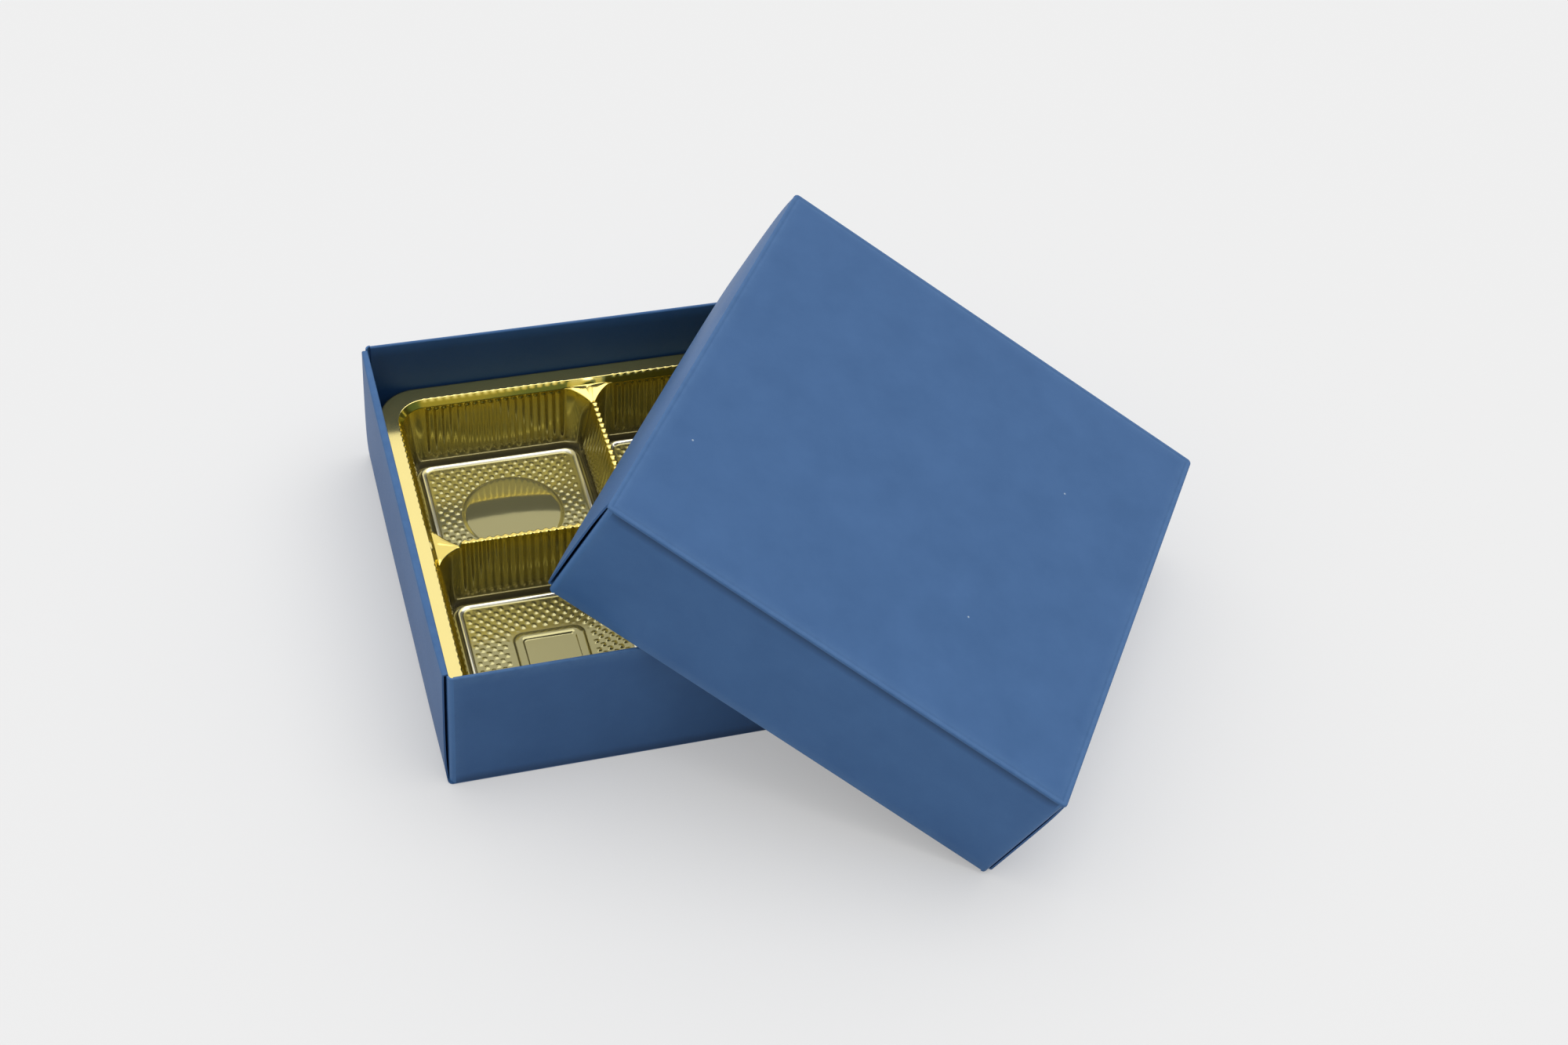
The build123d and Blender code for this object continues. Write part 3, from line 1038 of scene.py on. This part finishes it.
def gold_material():
    """Metallised film: mirror-like gold, greyer where it is stretched thin and deeper on its slopes, with a
    painted highlight on the floors' ridges.
    """
    material, tree, shader = new_material("gold_film_skin")
    coordinates = add_node(tree, "ShaderNodeTexCoord")
    place = coordinates.outputs["Object"]
    height = add_node(tree, "ShaderNodeSeparateXYZ", i0=place).outputs[2]
    slope = add_node(tree, "ShaderNodeSeparateXYZ", i0=coordinates.outputs["Normal"]).outputs[2]
    flat = spread(tree, slope, *LEVEL_SLOPES)
    pad = rise_through(tree, height, FLOOR_TO_PAD)
    clear = rise_through(tree, height, HAZY_TO_CLEAR)
    tree.links.new(gold_colour(tree, place, height, flat), shader.inputs["Base Color"])
    hazy = blend_numbers(tree, pad, FLOOR_METALLIC, PAD_METALLIC)
    tree.links.new(blend_numbers(tree, clear, hazy, GOLD_METALLIC), shader.inputs["Metallic"])
    haze = noise(tree, place, *HAZE).outputs[0]
    rough = spread(tree, haze, *NOISE_RANGE, *GOLD_ROUGHNESS)
    roughening = blend_numbers(tree, pad, FLOOR_ROUGHENING, PAD_ROUGHENING)
    roughening = blend_numbers(tree, clear, roughening, 1.0)
    tree.links.new(times(tree, rough, roughening), shader.inputs["Roughness"])
    tree.links.new(gold_bumps(tree, place, flat), shader.inputs["Normal"])
    return material


def rise_through(tree, height, levels):
    """0 below the lower level and 1 above the upper, both in millimetres."""
    low, high = levels
    return spread(tree, height, low * MM, high * MM)


def gold_colour(tree, place, height, flat):
    """Colour of the film by its height and slope."""
    steep = blend_colours(tree, rise_through(tree, height, FOOT_TO_WALL), GOLD_FOOT, GOLD_WALL)
    steep = blend_colours(tree, rise_through(tree, height, WALL_TO_BAND), steep, GOLD_BAND)
    level = blend_colours(tree, rise_through(tree, height, FLOOR_TO_GUSSET), GOLD_FLOOR, GOLD_GUSSET)
    level = blend_colours(tree, rise_through(tree, height, GUSSET_TO_FLANGE), level, GOLD_FLANGE)
    # Painted highlight: near-white film on the ridge tops
    level = blend_colours(tree, ridge_highlight_share(tree, place, height), level, GOLD_RIDGE_HIGHLIGHT)
    return blend_colours(tree, flat, steep, level)


def ridge_highlight_share(tree, place, height):
    """1 on top of the ridge round a cavity's floor, where a near-white film colour is a painted highlight."""
    centre = CAVITY_CENTRE * MM
    aside = vector_node(tree, "ABSOLUTE", i0=place)
    aside = vector_node(tree, "SUBTRACT", i0=aside, i1=(centre, centre, 0))
    parts = add_node(tree, "ShaderNodeSeparateXYZ", i0=vector_node(tree, "ABSOLUTE", i0=aside))
    reach = larger(tree, parts.outputs[0], parts.outputs[1])
    inside = (FOOT_FAR - FOOT_NEAR) / 2 - RIDGE_WIDTH - GUTTER_WIDTH
    outer = rise_through(tree, reach, (inside - RIDGE_EDGE, inside))
    low, high = RIDGE_CAP
    below_cap = spread(tree, height, low * MM, high * MM, 1, 0)
    return times(tree, outer, times(tree, rise_through(tree, height, RIDGE_FOOT), below_cap))


def vector_node(tree, operation, **inputs):
    """Result of one step of vector arithmetic."""
    return add_node(tree, "ShaderNodeVectorMath", {"operation": operation}, **inputs).outputs[0]


def gold_bumps(tree, place, flat):
    """Soft wrinkles all over the film, and fine straight drawing marks where it lies level."""
    ripple = noise(tree, place, *WRINKLE).outputs[0]
    depth = WRINKLE_DEPTH * MM
    wrinkle = add_node(tree, "ShaderNodeBump", Strength=WRINKLE_STRENGTH, Distance=depth, Height=ripple)
    squeezed = add_node(tree, "ShaderNodeMapping", Vector=place, Scale=SCRATCH_SQUEEZE).outputs[0]
    marks = noise(tree, squeezed, *SCRATCH).outputs[0]
    scratches = add_node(
        tree,
        "ShaderNodeBump",
        Strength=times(tree, flat, SCRATCH_STRENGTH),
        Distance=SCRATCH_DEPTH * MM,
        Height=marks,
        Normal=wrinkle.outputs[0],
    )
    return scratches.outputs[0]


def floor_material():
    """Plain pale table."""
    material, tree, shader = new_material("table_skin")
    shader.inputs["Base Color"].default_value = (TABLE_SHADE, TABLE_SHADE, TABLE_SHADE, 1)
    shader.inputs["Roughness"].default_value = 1.0
    shader.inputs["Specular IOR Level"].default_value = 0.0
    pale = (BACKGROUND, BACKGROUND, BACKGROUND, 1)
    glow = add_node(tree, "ShaderNodeEmission", Color=pale, Strength=1.0)
    share = times(tree, seen_directly(tree), 1 - SHADOW_SHARE)
    both = add_node(tree, "ShaderNodeMixShader", i0=share, i1=shader.outputs[0], i2=glow.outputs[0])
    tree.links.new(both.outputs[0], tree.nodes["Material Output"].inputs["Surface"])
    return material


# Stage


def make_floor():
    """Plain floor that keeps the box's shadow."""
    reach = FLOOR_SIZE / 2
    points = [(-reach, -reach, 0), (reach, -reach, 0), (reach, reach, 0), (-reach, reach, 0)]
    floor = make_object("table", points, [(0, 1, 2, 3)], floor_material())


def seen_directly(tree):
    """1 for what the camera sees, directly or through a mirror-like or clear surface."""
    path = add_node(tree, "ShaderNodeLightPath")
    seen = path.outputs["Is Camera Ray"]
    for name in ("Is Glossy Ray", "Is Transmission Ray"):
        seen = larger(tree, seen, path.outputs[name])
    return seen


def make_sky():
    """Soft surroundings, brightest high up behind the box and dimmest low down in front of it."""
    world = bpy.data.worlds.new("surroundings")
    bpy.context.scene.world = world
    world.use_nodes = True
    tree = world.node_tree
    tree.nodes.clear()
    way = add_node(tree, "ShaderNodeTexCoord").outputs["Generated"]
    lean = add_node(tree, "ShaderNodeVectorMath", {"operation": "DOT_PRODUCT"}, i0=way, i1=SKY_LEAN)
    level = spread(tree, lean.outputs["Value"], *SKY_SPREAD, SKY_DIM, SKY_BRIGHT)
    glow = add_node(tree, "ShaderNodeBackground", Color=(1, 1, 1, 1), Strength=level)
    pale = add_node(tree, "ShaderNodeBackground", Color=(1, 1, 1, 1), Strength=BACKGROUND)
    camera = add_node(tree, "ShaderNodeLightPath").outputs["Is Camera Ray"]
    both = add_node(tree, "ShaderNodeMixShader", i0=camera, i1=glow.outputs[0], i2=pale.outputs[0])
    end = tree.nodes.new("ShaderNodeOutputWorld")
    tree.links.new(both.outputs[0], end.inputs[0])


def make_sun():
    """Large soft lamp above the box."""
    lamp = bpy.data.lights.new("soft_lamp", "SUN")
    lamp.energy = SUN_STRENGTH
    lamp.angle = radians(SUN_SOFTNESS)
    thing = bpy.data.objects.new("soft_lamp", lamp)
    thing.rotation_mode = "QUATERNION"
    thing.rotation_quaternion = Vector(SUN_FROM).to_track_quat("Z", "Y")
    bpy.context.scene.collection.objects.link(thing)


def make_camera():
    """The photograph's camera."""
    lens = bpy.data.cameras.new("camera")
    lens.lens = CAMERA_LENS
    lens.sensor_width = CAMERA_SENSOR
    lens.clip_start, lens.clip_end = CAMERA_CLIP
    camera = bpy.data.objects.new("camera", lens)
    place = Vector(CAMERA_PLACE)
    aim = (Vector(CAMERA_AIM) - place).to_track_quat("-Z", "Y")
    camera.location = place * MM
    camera.rotation_mode = "QUATERNION"
    camera.rotation_quaternion = aim @ Quaternion((0, 0, 1), radians(CAMERA_ROLL))
    bpy.context.scene.collection.objects.link(camera)
    bpy.context.scene.camera = camera


def mark_flat_place(thing, half):
    """Stores each point's place on the panel, for a pattern that lies flat on it."""
    outer, inner, _ = panel_grids(half)
    flat = np.concatenate([outer.reshape(-1, 3), inner.reshape(-1, 3)]) * MM
    marks = thing.data.attributes.new("flat_place", "FLOAT_VECTOR", "POINT")
    marks.data.foreach_set("vector", flat.astype(np.float32).reshape(-1))


def dress_flaps(nodes, material):
    """Lighter card on the corner bends and flaps, painted light in the shaded corner slots; they keep their
    own shape.
    """
    for name, node in nodes.items():
        if name.endswith("flap"):
            for holder in node.material_slots:
                holder.material = material


def main():
    """Builds the whole scene."""
    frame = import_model()
    card = card_material("blue_card_skin")
    # Corner bends: a lighter copy of the card, painted light
    lightened_bend = card_material("blue_card_lightened_bend_skin", LIGHTENED_BEND_DARK, LIGHTENED_BEND_LIGHT)
    # Lid: lighter copies of the card, painted light; its top also has dust specks
    lightened_lid_card = card_material("blue_card_lightened_lid_skin", LIGHTENED_LID_WALL_DARK, LIGHTENED_LID_WALL_LIGHT)
    dusty = card_material("blue_card_lightened_top_skin", LIGHTENED_LID_TOP_DARK, LIGHTENED_LID_TOP_LIGHT, dusty=True)
    carton("base", BASE_HALF, BASE_HEIGHT, lambda points: points, card, card)
    carton("lid", LID_HALF, LID_HEIGHT, lean_points, lightened_lid_card, dusty)
    mark_flat_place(bpy.data.objects["lid_top_panel"], LID_HALF)
    dress_flaps(frame["nodes"], lightened_bend)
    tray(gold_material())
    make_floor()
    make_sky()
    make_sun()
    make_camera()
    bpy.context.scene.view_settings.view_transform = "Standard"


main()
